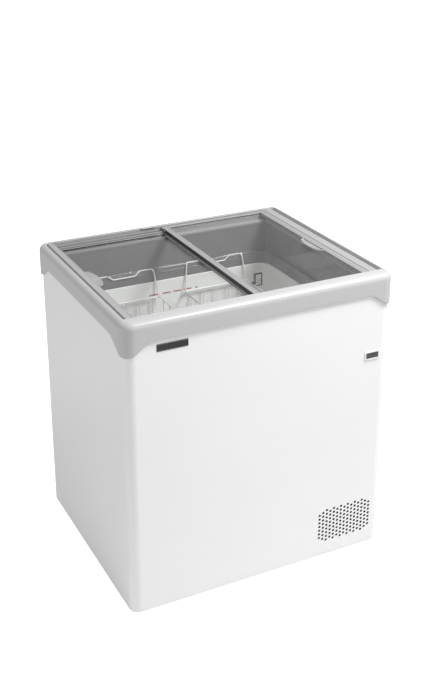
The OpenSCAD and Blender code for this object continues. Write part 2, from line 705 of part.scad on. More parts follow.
module cord_gland() color(dark) difference() {
    union() {
        at_back(gland_mid, back_y + back_t) cylinder(r = 11, h = 3);
        at_back(gland_mid, back_y - 6) cylinder(r = 8, h = 8);
        at_back(gland_mid, back_y - 8) cylinder(r = 10, h = 8 - sheet_t);
    }
    at_back(gland_mid, back_y - 9) cylinder(r = 4, h = 20);
}

// ---------- drain ----------
module drain_tube() color(white) translate([drain[0], drain[1], 0]) difference() {
    translate([0, 0, pan_z - 6]) cylinder(r = 10, h = liner_floor - liner_t - pan_z + 6);
    translate([0, 0, pan_z - 7]) cylinder(r = 8.2, h = liner_floor);
}

module drain_plug() color(dark) translate([drain[0], drain[1], liner_floor]) {
    translate([0, 0, running]) cylinder(r = 12, h = 3);
    translate([0, 0, -12]) cylinder(r = 8.15, h = 13);
    translate([0, 0, 3]) cylinder(r = 5, h = 9);
}

// ---------- castors ----------
module at_castor(sx, sy) translate([sx * castor_x, sy * castor_y, 0]) children();
module at_castors() for (sx = [-1, 1], sy = [-1, 1]) at_castor(sx, sy) children();
bolt_at = 20;

module castor_bolt_holes() at_castors() for (x = [-1, 1], y = [-1, 1])
    translate([x * bolt_at, y * bolt_at, plate_z - 1]) cylinder(r = 3, h = 15);

module castor_plates() color(steel) difference() {
    at_castors() slab([-27, -27, plate_z], [27, 27, plate_z + plate_t]);
    castor_bolt_holes();
    at_castors() translate([0, 0, plate_z - 1]) cylinder(r = 4 + pin_play, h = plate_t + 2);
}

module castor_bolts() color(steel) at_castors() for (x = [-1, 1], y = [-1, 1])
    translate([x * bolt_at, y * bolt_at, 0]) {
        translate([0, 0, plate_z - 3.5]) cylinder(r = 5, h = 3.5, $fn = 6);
        translate([0, 0, plate_z - eps]) cylinder(r = 3, h = 13);
    }

module castor_fork(sx, sy) color(steel) at_castor(sx, sy) {
    translate([0, 0, plate_z - fork_gap - 3]) cylinder(r = 17, h = 3);
    translate([0, 0, plate_z - fork_gap - eps]) cylinder(r = 4, h = plate_t + 2);
    translate([0, 0, plate_z + plate_t + 0.5]) cylinder(r = 6, h = 1.5);
    for (s = [-1, 1]) {
        slab([0, s * 9 - 1, wheel_r], [trail + 5, s * 9 + 1, plate_z - fork_gap - 3 + eps]);
        translate([trail, s * 9 + 1, wheel_r]) rotate([90, 0, 0]) cylinder(r = 6, h = 2);
    }
    translate([trail, 10, wheel_r]) rotate([90, 0, 0]) cylinder(r = 3, h = 20);
}

module castor_wheel(sx, sy) color(dark) at_castor(sx, sy)
    translate([trail, 7, wheel_r]) rotate([90, 0, 0]) difference() {
        cylinder(r = wheel_r, h = 14, $fn = 96);
        translate([0, 0, -1]) cylinder(r = 3 + pin_play, h = 16);
    }

module castor_fork_fl() castor_fork(-1, -1);
module castor_fork_fr() castor_fork(1, -1);
module castor_fork_bl() castor_fork(-1, 1);
module castor_fork_br() castor_fork(1, 1);
module castor_wheel_fl() castor_wheel(-1, -1);
module castor_wheel_fr() castor_wheel(1, -1);
module castor_wheel_bl() castor_wheel(-1, 1);
module castor_wheel_br() castor_wheel(1, 1);

cabinet_wrap();
back_panel();
back_panel_screws();
base_pan();
castor_runners();
foam_insulation();
inner_liner();
evaporator_coil();
throat_frame();
top_frame();
back_rail();
front_rail();
rail_clip();
left_side_strip();
right_side_strip();
right_lid_glass();
right_lid_end_profile();
right_lid_centre_bar();
right_lid_glides();
right_lid_grip();
right_lid_brush();
left_lid_glass();
left_lid_end_profile();
left_lid_inner_profile();
left_lid_glides();
left_lid_grip();
left_basket();
right_basket();
basket_thermometer();
load_limit_strip();
name_plate();
display_bezel();
display_window();
display_module();
machine_bulkhead();
compressor_shell();
compressor_feet();
compressor_terminal_box();
condenser_fins();
condenser_tube();
fan_shroud();
fan_motor();
fan_blades();
filter_drier();
refrigerant_lines();
thermostat_body();
thermostat_knob();
cord_gland();
drain_tube();
drain_plug();
castor_plates();
castor_bolts();
castor_fork_fl();
castor_fork_fr();
castor_fork_bl();
castor_fork_br();
castor_wheel_fl();
castor_wheel_fr();
castor_wheel_bl();
castor_wheel_br();
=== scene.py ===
"""Looks of the glass-top chest freezer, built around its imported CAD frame. Metres, +Z up, front facing -Y."""

import math

import bmesh
import bpy
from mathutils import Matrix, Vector


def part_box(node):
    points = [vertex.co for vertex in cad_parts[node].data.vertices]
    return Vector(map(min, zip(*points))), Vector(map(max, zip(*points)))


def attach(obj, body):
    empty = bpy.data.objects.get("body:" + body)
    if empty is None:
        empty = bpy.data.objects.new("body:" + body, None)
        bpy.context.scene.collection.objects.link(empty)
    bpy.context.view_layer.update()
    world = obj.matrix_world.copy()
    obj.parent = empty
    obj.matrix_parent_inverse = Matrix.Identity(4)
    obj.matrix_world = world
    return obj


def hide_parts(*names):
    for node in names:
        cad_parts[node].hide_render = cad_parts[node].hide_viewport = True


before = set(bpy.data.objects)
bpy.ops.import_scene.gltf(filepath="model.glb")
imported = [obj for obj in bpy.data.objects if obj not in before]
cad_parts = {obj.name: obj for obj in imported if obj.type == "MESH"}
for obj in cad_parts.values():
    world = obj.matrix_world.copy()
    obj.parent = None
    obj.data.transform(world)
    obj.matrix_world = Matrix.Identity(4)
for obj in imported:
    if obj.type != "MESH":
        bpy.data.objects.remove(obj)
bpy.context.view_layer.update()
MM = 0.001

# ---------- camera ----------
CAMERA_AT = (-1.2506, -2.5367, 1.9157)
CAMERA_LOOKS = (0.41885, 0.83562, -0.35539)
CAMERA_LENS = 58.31
CAMERA_SHIFT_Y = -0.12

camera = bpy.data.objects.new("camera", bpy.data.cameras.new("camera"))
bpy.context.scene.collection.objects.link(camera)
camera.location = CAMERA_AT
camera.rotation_mode = "QUATERNION"
camera.rotation_quaternion = Vector(CAMERA_LOOKS).to_track_quat("-Z", "Y")
camera.data.sensor_width = 36
camera.data.lens = CAMERA_LENS
camera.data.shift_y = CAMERA_SHIFT_Y
bpy.context.scene.camera = camera
bpy.context.scene.view_settings.view_transform = "Standard"


# ---------- materials ----------
def material(name, colour, roughness, metallic=0.0, grain=(1500, 0.0004), cloud=(9, 0.02),
             rough_spread=0.06, spangle=None):
    """Procedural surface. grain: bumps per metre and their depth in metres; cloud: scale and share of
    the broad change in tone; rough_spread: how far the roughness wanders; spangle: scale of
    crystal-like patches."""
    mat = bpy.data.materials.new(name)
    mat.use_nodes = True
    nodes, links = mat.node_tree.nodes, mat.node_tree.links
    shader = nodes["Principled BSDF"]
    shader.inputs["Metallic"].default_value = metallic
    place = nodes.new("ShaderNodeTexCoord")

    def noise(scale, detail):
        tex = nodes.new("ShaderNodeTexNoise")
        tex.inputs["Scale"].default_value = scale
        tex.inputs["Detail"].default_value = detail
        links.new(place.outputs["Object"], tex.inputs["Vector"])
        return tex.outputs["Fac"]

    def spread(value, low, high):
        ramp = nodes.new("ShaderNodeMapRange")
        ramp.inputs["From Min"].default_value = 0.3
        ramp.inputs["From Max"].default_value = 0.7
        ramp.inputs["To Min"].default_value = low
        ramp.inputs["To Max"].default_value = high
        links.new(value, ramp.inputs["Value"])
        return ramp.outputs["Result"]

    tone = noise(cloud[0], 3)
    if spangle:
        cells = nodes.new("ShaderNodeTexVoronoi")
        cells.inputs["Scale"].default_value = spangle
        links.new(place.outputs["Object"], cells.inputs["Vector"])
        split = nodes.new("ShaderNodeSeparateColor")
        links.new(cells.outputs["Color"], split.inputs["Color"])
        tone = split.outputs["Red"]
    mix = nodes.new("ShaderNodeMix")
    mix.data_type = "RGBA"
    mix.inputs["A"].default_value = (*[c * (1 - cloud[1]) for c in colour], 1)
    mix.inputs["B"].default_value = (*[min(1, c * (1 + cloud[1])) for c in colour], 1)
    links.new(spread(tone, 0, 1), mix.inputs["Factor"])
    links.new(mix.outputs["Result"], shader.inputs["Base Color"])
    links.new(spread(noise(60, 4), max(0.02, roughness - rough_spread), roughness + rough_spread),
              shader.inputs["Roughness"])
    bump = nodes.new("ShaderNodeBump")
    bump.inputs["Distance"].default_value = grain[1]
    bump.inputs["Strength"].default_value = 0.5
    links.new(noise(grain[0], 2), bump.inputs["Height"])
    links.new(bump.outputs["Normal"], shader.inputs["Normal"])
    return mat


def glass_material(name, tint):
    """Thin clear sheet: light goes straight through, and the surface mirrors more at a glancing angle."""
    mat = bpy.data.materials.new(name)
    mat.use_nodes = True
    nodes, links = mat.node_tree.nodes, mat.node_tree.links
    nodes.remove(nodes["Principled BSDF"])
    clear = nodes.new("ShaderNodeBsdfTransparent")
    clear.inputs["Color"].default_value = (*tint, 1)
    gloss = nodes.new("ShaderNodeBsdfGlossy")
    smear = nodes.new("ShaderNodeTexNoise")
    smear.inputs["Scale"].default_value = 6
    wipe = nodes.new("ShaderNodeMapRange")
    wipe.inputs["To Min"].default_value = 0.01
    wipe.inputs["To Max"].default_value = 0.05
    links.new(smear.outputs["Fac"], wipe.inputs["Value"])
    links.new(wipe.outputs["Result"], gloss.inputs["Roughness"])
    edge = nodes.new("ShaderNodeLayerWeight")
    rise = nodes.new("ShaderNodeMath")
    rise.operation = "POWER"
    rise.inputs[1].default_value = 5
    links.new(edge.outputs["Facing"], rise.inputs[0])
    share = nodes.new("ShaderNodeMapRange")
    share.inputs["To Min"].default_value = 0.03
    share.inputs["To Max"].default_value = 0.9
    links.new(rise.outputs["Value"], share.inputs["Value"])
    mix = nodes.new("ShaderNodeMixShader")
    links.new(share.outputs["Result"], mix.inputs["Fac"])
    links.new(clear.outputs["BSDF"], mix.inputs[1])
    links.new(gloss.outputs["BSDF"], mix.inputs[2])
    links.new(mix.outputs["Shader"], nodes["Material Output"].inputs["Surface"])
    return mat


def clouded_material(name, colour, clear_share):
    """Translucent moulding: part of the light passes straight through a satin surface."""
    mat = material(name, colour, 0.2, grain=(900, 0.00008), cloud=(20, 0.02), rough_spread=0.04)
    nodes, links = mat.node_tree.nodes, mat.node_tree.links
    clear = nodes.new("ShaderNodeBsdfTransparent")
    mix = nodes.new("ShaderNodeMixShader")
    mix.inputs["Fac"].default_value = clear_share
    links.new(nodes["Principled BSDF"].outputs["BSDF"], mix.inputs[1])
    links.new(clear.outputs["BSDF"], mix.inputs[2])
    links.new(mix.outputs["Shader"], nodes["Material Output"].inputs["Surface"])
    return mat


WHITE = material("white_enamel", (0.84, 0.84, 0.84), 0.34, grain=(420, 0.00012), cloud=(4, 0.008))
MOULDED = {"grain": (2600, 0.00003), "rough_spread": 0.02}
FRAME = material("frame_plastic", (0.50, 0.50, 0.50), 0.30, cloud=(5, 0.008), **MOULDED)
RAIL = material("rail_plastic", (0.38, 0.38, 0.38), 0.32, cloud=(5, 0.01), **MOULDED)
LID = material("lid_plastic", (0.33, 0.33, 0.33), 0.30, cloud=(5, 0.01), **MOULDED)
THROAT = material("throat_plastic", (0.17, 0.17, 0.17), 0.06, grain=(1400, 0.00002), cloud=(6, 0.02),
                  rough_spread=0.03)
LINER = material("liner_enamel", (0.93, 0.93, 0.925), 0.36, grain=(300, 0.0002), cloud=(5, 0.012))
SEAL = material("black_seal", (0.025, 0.025, 0.025), 0.55, grain=(3000, 0.0002), cloud=(60, 0.25))
WIRE = material("epoxy_wire", (0.82, 0.82, 0.81), 0.28, grain=(900, 0.00015), cloud=(40, 0.03))
RED = material("red_mark", (0.45, 0.02, 0.02), 0.40, grain=(2000, 0.00005), cloud=(40, 0.06))
BLACK = material("black_plastic", (0.018, 0.018, 0.019), 0.34, grain=(2200, 0.0001), cloud=(30, 0.15))
BEZEL = material("white_plastic", (0.84, 0.84, 0.84), 0.30, grain=(2200, 0.00006), cloud=(30, 0.01))
WINDOW = material("display_window", (0.055, 0.055, 0.058), 0.10, grain=(900, 0.00002), cloud=(60, 0.3))
SHEET = material("galvanised_sheet", (0.55, 0.56, 0.57), 0.38, 0.85, grain=(700, 0.0001), cloud=(9, 0.16),
                 rough_spread=0.1, spangle=240)
ZINC = material("zinc_hardware", (0.62, 0.62, 0.61), 0.30, 0.9, grain=(1800, 0.00008), cloud=(80, 0.10))
COPPER = material("copper_tube", (0.70, 0.36, 0.22), 0.32, 0.95, grain=(1300, 0.00008), cloud=(30, 0.18))
# near-black alloy for the condenser fins and fan blades: painted shade for the dark space seen through the
# front panel's holes
SHADE_DARK_ALLOY = material("shade_dark_fin_alloy", (0.08, 0.08, 0.085), 0.45, 0.4, grain=(1600, 0.0001), cloud=(60, 0.25))
BLACK_STEEL = material("black_enamel", (0.02, 0.02, 0.022), 0.30, grain=(500, 0.0002), cloud=(20, 0.2))
RUBBER = material("rubber", (0.03, 0.03, 0.03), 0.70, grain=(1500, 0.0003), cloud=(50, 0.2))
CASTOR = material("castor_nylon", (0.06, 0.06, 0.065), 0.45, grain=(1600, 0.0001), cloud=(40, 0.15))
FOAM = material("insulating_foam", (0.74, 0.62, 0.36), 0.85, grain=(260, 0.0012), cloud=(40, 0.12))
GLASS = glass_material("lid_glass", (0.985, 0.99, 0.985))
GRIP = clouded_material("grip_plastic", (0.50, 0.50, 0.51), 0.45)


# ---------- mesh helpers ----------
def finish_mesh(name, bm, body, mat, nodes=(), bevel=0.0, sharp=40, thick=0.0):
    """Turns a bmesh into a shown piece of a body, in place of the CAD nodes named. bevel rounds its hard
    edges by that many metres, and thick gives a sheet that many metres of thickness."""
    bmesh.ops.remove_doubles(bm, verts=bm.verts, dist=1e-6)
    bmesh.ops.recalc_face_normals(bm, faces=bm.faces)
    mesh = bpy.data.meshes.new(name)
    bm.to_mesh(mesh)
    bm.free()
    obj = bpy.data.objects.new(name, mesh)
    bpy.context.scene.collection.objects.link(obj)
    mesh.materials.append(mat)
    mesh.shade_smooth()
    if thick:
        solid = obj.modifiers.new("sheet", "SOLIDIFY")
        solid.thickness = thick
        solid.offset = -1
    if bevel:
        add_bevel(obj, bevel, sharp)
    mesh.set_sharp_from_angle(angle=math.radians(sharp))
    normals = obj.modifiers.new("normals", "WEIGHTED_NORMAL")
    normals.keep_sharp = True
    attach(obj, body)
    if nodes:
        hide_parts(*nodes)


def add_bevel(obj, width, sharp, steps=2):
    """Rounds the edges that are sharper than the given angle, by width in metres."""
    mod = obj.modifiers.new("rounded_edges", "BEVEL")
    mod.width = width
    mod.segments = steps
    mod.limit_method = "ANGLE"
    mod.angle_limit = math.radians(sharp)
    mod.harden_normals = False


def rounded(points, radius, steps=4, closed=True):
    """The outline with each corner turned into an arc; radius is one number or one per corner."""
    count = len(points)
    radii = [radius] * count if isinstance(radius, (int, float)) else radius
    out = []
    for i, p in enumerate(points):
        if radii[i] <= 0 or (not closed and i in (0, count - 1)):
            out.append(Vector(p))
            continue
        p = Vector(p)
        before, after = Vector(points[i - 1]) - p, Vector(points[(i + 1) % count]) - p
        half = before.angle(after) / 2
        reach = min(radii[i] / math.tan(half), before.length * 0.49, after.length * 0.49)
        r = reach * math.tan(half)
        a, b = p + before.normalized() * reach, p + after.normalized() * reach
        middle = p + (before.normalized() + after.normalized()).normalized() * (r / math.sin(half))
        va, vb = a - middle, b - middle
        turn = va.angle(vb) if va.length > 1e-9 else 0
        for k in range(steps + 1):
            t = k / steps
            if turn < 1e-6:
                out.append(a.lerp(b, t))
            else:
                spoke = va * math.sin((1 - t) * turn) + vb * math.sin(t * turn)
                out.append(middle + spoke / math.sin(turn))
    return out


def add_bar(bm, section, a, b, along):
    """Extrudes a closed section, in mm, from a to b. The section's points hold the other two axes in
    their order: (y, z) along x, (x, z) along y, (x, y) along z."""
    def at(p, t):
        if along == "x":
            return (t * MM, p[0] * MM, p[1] * MM)
        if along == "y":
            return (p[0] * MM, t * MM, p[1] * MM)
        return (p[0] * MM, p[1] * MM, t * MM)

    ends = [[bm.verts.new(at(p, t)) for p in section] for t in (a, b)]
    n = len(section)
    for i in range(n):
        bm.faces.new((ends[0][i], ends[0][(i + 1) % n], ends[1][(i + 1) % n], ends[1][i]))
    bm.faces.new(ends[0])
    bm.faces.new(list(reversed(ends[1])))


def rectangle(x0, x1, z0, z1):
    return [(x0, z0), (x1, z0), (x1, z1), (x0, z1)]


def add_block(bm, x0, x1, y0, y1, z0, z1):
    add_bar(bm, rectangle(x0, x1, z0, z1), y0, y1, "y")


def add_tube(bm, points, radius, sides, closed=False):
    """A round wire, in mm, through the points."""
    pts = [Vector(p) * MM for p in points]
    if closed and (pts[0] - pts[-1]).length < 1e-7:
        pts.pop()
    n = len(pts)
    rings, up = [], None
    for i, p in enumerate(pts):
        ahead = pts[(i + 1) % n] - p if closed or i < n - 1 else p - pts[i - 1]
        back = p - pts[i - 1] if closed or i > 0 else ahead
        way = (ahead.normalized() + back.normalized()).normalized()
        if up is None:
            up = way.orthogonal().normalized()
        up = (up - way * up.dot(way)).normalized()
        side = way.cross(up)
        rings.append([bm.verts.new(p + (up * math.cos(t) + side * math.sin(t)) * radius * MM)
                      for t in (2 * math.pi * k / sides for k in range(sides))])
    if closed:
        # the rings may have turned on the way round, so the last one joins the first at the nearest turn
        first, last = rings[0], rings[-1]
        turn = min(range(sides), key=lambda s: (last[0].co - first[s].co).length)
        first_turned = first[turn:] + first[:turn]
        pairs = list(zip(rings[:-1], rings[1:])) + [(last, first_turned)]
    else:
        pairs = list(zip(rings[:-1], rings[1:]))
        bm.faces.new(list(reversed(rings[0])))
        bm.faces.new(rings[-1])
    for a, b in pairs:
        for k in range(sides):
            bm.faces.new((a[k], a[(k + 1) % sides], b[(k + 1) % sides], b[k]))


def wire_path(points, bend):
    """Centre line of a bent wire: an open line with rounded corners."""
    return rounded(points, bend, 5, closed=False)


def add_lathe(bm, profile, centre, axis, sides):
    """Turns (radius, height) pairs, in mm, about the y or z axis through centre. A radius of 0 closes the
    end."""
    c = Vector(centre) * MM

    def at(r, h, t):
        x, y = r * math.cos(t) * MM, r * math.sin(t) * MM
        if axis == "z":
            return c + Vector((x, y, h * MM))
        return c + Vector((x, h * MM, y))

    rings = []
    for r, h in profile:
        if r <= 1e-6:
            rings.append([bm.verts.new(at(0, h, 0))])
        else:
            rings.append([bm.verts.new(at(r, h, 2 * math.pi * k / sides)) for k in range(sides)])
    for a, b in zip(rings[:-1], rings[1:]):
        for k in range(sides):
            ring = [a[k % len(a)], a[(k + 1) % len(a)], b[(k + 1) % len(b)], b[k % len(b)]]
            ring = list(dict.fromkeys(ring))
            if len(ring) > 2:
                bm.faces.new(ring)


def plan_samples(corner_steps, cuts):
    """Places round a rounded rectangle, anticlockwise: "corner", its signs and an angle, or "edge", its
    side and how far along it, with -1 and 1 at its ends. cuts are the places wanted along each edge."""
    samples = []
    for cx, cy, start, ex, ey, way in ((1, 1, 0, 0, 1, -1), (-1, 1, 90, -1, 0, -1),
                                       (-1, -1, 180, 0, -1, 1), (1, -1, 270, 1, 0, 1)):
        for k in range(corner_steps + 1):
            samples.append(("corner", cx, cy, math.radians(start + 90 * k / corner_steps)))
        samples += [("edge", ex, ey, way * c) for c in cuts]
    return samples


def plan_point(sample, hx, hy, rho):
    """The sample's place on the rounded rectangle with half sizes hx, hy and corner radius rho, in mm."""
    kind, a, b, t = sample
    if kind == "corner":
        return a * (hx - rho) + rho * math.cos(t), b * (hy - rho) + rho * math.sin(t)
    if a == 0:
        return t * (hx - rho), b * hy
    return a * hx, t * (hy - rho)


def add_ring(bm, section, hx, hy, corner_steps=12, cuts=(), closed=True, height=None):
    """Sweeps a section of (inset, z, corner radius) points, in mm, round a rectangle of half sizes hx, hy.
    height(x, y, index, inset, z) may move a point's (inset, z) at each place."""
    loops = []
    for s in plan_samples(corner_steps, cuts):
        loop = []
        for i, (inset, z, rho) in enumerate(section):
            if height:
                x, y = plan_point(s, hx, hy, rho)
                inset, z = height(x, y, i, inset, z)
            x, y = plan_point(s, hx - inset, hy - inset, max(0.2, rho))
            loop.append(bm.verts.new((x * MM, y * MM, z * MM)))
        loops.append(loop)
    n = len(section)
    last = n if closed else n - 1
    for a, b in zip(loops, loops[1:] + loops[:1]):
        for i in range(last):
            bm.faces.new((a[i], b[i], b[(i + 1) % n], a[(i + 1) % n]))


def dress(node, mat, bevel=0.0, sharp=35, steps=2):
    """A CAD node that stays gets a material, and rounded edges where bevel says how wide, in metres."""
    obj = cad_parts[node]
    obj.data.materials.clear()
    obj.data.materials.append(mat)
    if bevel:
        weld = obj.modifiers.new("weld", "WELD")
        weld.merge_threshold = 2e-6
        add_bevel(obj, bevel, sharp, steps)
        smooth = obj.modifiers.new("normals", "WEIGHTED_NORMAL")
        smooth.keep_sharp = True


# ---------- measures taken from the frame, in mm ----------
def box_mm(node):
    """Lowest and highest corner of a CAD node."""
    lo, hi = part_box(node)
    return lo / MM, hi / MM


frame_lo, frame_hi = box_mm("top_frame")
HX, HY, TOP = frame_hi.x, frame_hi.y, frame_hi.z
LOBE_DROP = 36           # how far the corner lobes hang below the band
BAND_BOTTOM = frame_lo.z + LOBE_DROP
CORNER = 32              # the frame's corner radius in plan
CROWN = 18               # the radius of its rounded top edge
rail_lo, rail_hi = box_mm("back_rail")
RAIL_LEFT, RAIL_RIGHT = rail_lo.x, rail_hi.x
RAIL_OUT, THROAT_Y, RAIL_BOTTOM = rail_hi.y, rail_lo.y, rail_lo.z
LOW_SHELF, HIGH_SHELF = TOP - 25, TOP - 15
HIGH_IN, HIGH_OUT = RAIL_OUT - 19, RAIL_OUT - 5
strip_lo, strip_hi = box_mm("right_side_strip")
STRIP_X, SILL_X, STRIP_TOP = strip_hi.x, strip_lo.x, strip_hi.z
throat_lo, throat_hi = box_mm("throat_frame")
THROAT_X = throat_hi.x - 4
LINER_TOP = throat_lo.z
LEDGE = TOP - 121        # the shelf that carries the basket handles
liner_lo, liner_hi = box_mm("inner_liner")
LINER_X, LINER_Y, LINER_R = liner_hi.x - 9, liner_hi.y - 9, 40
FLOOR = liner_lo.z + 1.5
HUMP_X, HUMP_TOP = 106, 302
RIM_Z = TOP - 202        # the baskets' rims


# ---------- body shell ----------
dress("cabinet_wrap", WHITE)
dress("back_panel", SHEET)
dress("base_pan", SHEET)
dress("castor_runners", SHEET, 0.0006)
dress("foam_insulation", FOAM)
dress("evaporator_coil", COPPER)
dress("machine_bulkhead", SHEET)


# ---------- top frame ----------
def lobe(s, s0, s1):
    """Drop of the band's lower edge at s from the corner: full up to s0, then easing out to s1."""
    if s <= s0:
        return LOBE_DROP
    if s >= s1:
        return 0
    return LOBE_DROP * (1 + math.cos(math.pi * (s - s0) / (s1 - s0))) / 2


def band_edge(x, y):
    """Height of the band's lower edge at a place in plan."""
    return BAND_BOTTOM - min(lobe(HX - abs(x), 8, 80), lobe(HY - abs(y), 14, 100))


edge_cuts = [i / 40 for i in range(-39, 40)]
WALL = 5.6               # thickness of the band
INNER = CORNER - CROWN
crown_arc = [(CROWN - CROWN * math.cos(t), TOP - CROWN + CROWN * math.sin(t), INNER + CROWN * math.cos(t))
             for t in (math.pi / 2 * k / 10 for k in range(1, 10))]
edge_points = [(WALL, 0, CORNER - WALL), (1.0, 0, CORNER - 1.0), (0.3, 0.5, CORNER - 0.3), (0, 1.3, CORNER),
               (0, 12, CORNER)]
crown_end = [(CROWN - 0.9, TOP, INNER + 0.9), (CROWN, TOP - 0.9, INNER), (CROWN, TOP - 9, INNER),
             (CROWN, TOP - 14, INNER), (WALL, TOP - 14, CORNER - WALL)]
frame_section = edge_points + [(0, TOP - CROWN, CORNER)] + crown_arc + crown_end
CROWN_END = len(frame_section) - len(crown_end)


def frame_height(x, y, i, inset, z):
    """The first points follow the band's lower edge; along the front the crown runs flat into the lip."""
    if i < len(edge_points):
        return inset, band_edge(x, y) + z
    if i in (CROWN_END, CROWN_END + 1) and y < -(HY - CORNER - 0.01):
        return (CROWN, TOP) if i == CROWN_END else (CROWN, TOP - 0.01)
    return inset, z


bm = bmesh.new()
add_ring(bm, frame_section, HX, HY, 14, edge_cuts, height=frame_height)
# floor of the channel between the crown and the strips and rails
for sx in (-1, 1):
    add_block(bm, sx * (HX - CROWN), sx * STRIP_X, -HY + CROWN, HY - CROWN, TOP - 13, TOP - 9)
# the wide flat lip along the front
lip = rounded([(-HY + CROWN, TOP), (-HY + 42, TOP - 0.6), (-HY + 42, TOP - 3.5), (-HY + CROWN, TOP - 3.5)],
              [0, 1.6, 0.5, 0], 5)
add_bar(bm, lip, -HX + CROWN, HX - CROWN, "x")
finish_mesh("top_frame_moulding", bm, "cabinet", FRAME, ["top_frame"], sharp=50)


# ---------- rails ----------
def rail_section(wall_top, s):
    """Two-level track with fine grooves in its walls: s is 1 at the back and -1 at the front."""
    def wall_grooves(y, levels, height):
        depth, taper = 2.2, 0.2
        out = []
        for z in levels:
            top, bottom = z + height / 2, z - height / 2
            out += [(y, top), (y + depth, top - taper), (y + depth, bottom + taper), (y, bottom)]
        return out

    pts = [(RAIL_OUT, RAIL_BOTTOM), (RAIL_OUT, wall_top - 0.6), (RAIL_OUT - 0.6, wall_top),
           (HIGH_OUT + 0.8, wall_top), (HIGH_OUT, wall_top - 0.8)]
    pts += wall_grooves(HIGH_OUT, (wall_top - 2.6, wall_top - 7.0), 1.3)
    pts += [(HIGH_OUT, HIGH_SHELF), (HIGH_IN + 0.5, HIGH_SHELF), (HIGH_IN, HIGH_SHELF - 0.5)]
    pts += wall_grooves(HIGH_IN, (HIGH_SHELF - 1.6, HIGH_SHELF - 4.6), 1.2)
    pts += [(HIGH_IN, LOW_SHELF + 0.9), (HIGH_IN + 1.6, LOW_SHELF + 0.7), (HIGH_IN + 1.6, LOW_SHELF - 0.6),
            (HIGH_IN, LOW_SHELF - 0.6), (HIGH_IN - 0.8, LOW_SHELF), (THROAT_Y + 5.0, LOW_SHELF),
            (THROAT_Y + 4.8, LOW_SHELF - 3), (THROAT_Y + 3.2, LOW_SHELF - 3), (THROAT_Y + 3.0, LOW_SHELF),
            (THROAT_Y + 0.6, LOW_SHELF), (THROAT_Y, LOW_SHELF - 0.6), (THROAT_Y, RAIL_BOTTOM)]
    return [(s * y, z) for y, z in pts]


for name, node, s in (("back", "back_rail", 1), ("front", "front_rail", -1)):
    lo, hi = box_mm(node)
    bm = bmesh.new()
    add_bar(bm, rail_section(hi.z, s), RAIL_LEFT, RAIL_RIGHT, "x")
    finish_mesh(name + "_rail_moulding", bm, "cabinet", RAIL, [node], sharp=30)
    # dark strip along the upper track's shelf: painted shade on that shelf
    bm = bmesh.new()
    strip = [(HIGH_IN + 0.7, HIGH_SHELF - 0.1), (HIGH_IN + 0.9, HIGH_SHELF + 0.12),
             (HIGH_OUT - 0.3, HIGH_SHELF + 0.12), (HIGH_OUT - 0.1, HIGH_SHELF - 0.1)]
    add_bar(bm, [(s * y, z) for y, z in strip], RAIL_LEFT + 0.5, RAIL_RIGHT - 0.5, "x")
    finish_mesh(name + "_track_shade_strip", bm, "cabinet", THROAT, sharp=30)

lo, hi = box_mm("rail_clip")
bm = bmesh.new()
mid_y, rad = (lo.y + hi.y) / 2, (hi.y - lo.y) / 2
outline = rounded(rectangle(lo.x, hi.x, mid_y - rad, mid_y + rad), rad * 0.98, 8)
add_bar(bm, outline, lo.z, hi.z, "z")
inner = rounded(rectangle(lo.x + 4, hi.x - 4, mid_y - 2, mid_y + 2), 1.9, 5)
add_bar(bm, inner, hi.z - 1.0, hi.z - 0.05, "z")
finish_mesh("rail_clip_cap", bm, "cabinet", FRAME, ["rail_clip"], bevel=0.0005)


# ---------- side strips ----------
def strip_sections(side, sill):
    """The strip's tall outer part and its low part, on which the closed lid's end lies."""
    outer, stop = STRIP_X, RAIL_RIGHT if side > 0 else -RAIL_LEFT
    tall = rounded([(outer, RAIL_BOTTOM), (outer, STRIP_TOP), (stop, STRIP_TOP), (stop, RAIL_BOTTOM)],
                   [0, 1.8, 1.2, 0], 4)
    low = rounded([(stop + 0.2, RAIL_BOTTOM), (stop + 0.2, sill), (SILL_X, sill), (SILL_X, RAIL_BOTTOM)],
                  [0, 0, 1.5, 0], 4)
    return [[(side * p[0], p[1]) for p in sec] for sec in (tall, low)]


for name, node, side, sill in (("left_strip_moulding", "left_side_strip", -1, LOW_SHELF),
                               ("right_strip_moulding", "right_side_strip", 1, HIGH_SHELF)):
    tall, low = strip_sections(side, sill)
    bm = bmesh.new()
    add_bar(bm, tall, -RAIL_OUT, RAIL_OUT, "y")
    add_bar(bm, low, -THROAT_Y, THROAT_Y, "y")
    finish_mesh(name, bm, "cabinet", RAIL, [node], bevel=0.0005)


# ---------- throat and liner ----------
throat_section = [
    (-3.5, RAIL_BOTTOM, 11.5), (0, RAIL_BOTTOM, 8), (0, RAIL_BOTTOM - 2, 8), (0.9, RAIL_BOTTOM - 2.6, 8),
    (1.0, RAIL_BOTTOM - 4.0, 8), (0.2, RAIL_BOTTOM - 5.0, 8), (0, RAIL_BOTTOM - 6, 8),
    (0, LEDGE + 5, 8), (0.5, LEDGE + 2, 8), (2, LEDGE + 0.4, 9), (3.2, LEDGE, 10), (8.8, LEDGE, 24),
    (9.8, LEDGE - 0.5, 29), (10, LEDGE - 1.5, 30), (10, LEDGE - 8, 30), (10.4, LEDGE - 8.6, 30),
    (11.2, LEDGE - 9.2, 30), (11.4, LEDGE - 10, 30), (11.4, LINER_TOP + 0.3, 30),
    (6, LINER_TOP + 0.3, 34),
    (6, LEDGE - 4.5, 34), (-3.5, LEDGE - 4, 11.5),
]
bm = bmesh.new()
add_ring(bm, throat_section, THROAT_X, THROAT_Y)
finish_mesh("throat_moulding", bm, "cabinet", THROAT, ["throat_frame"], sharp=35)

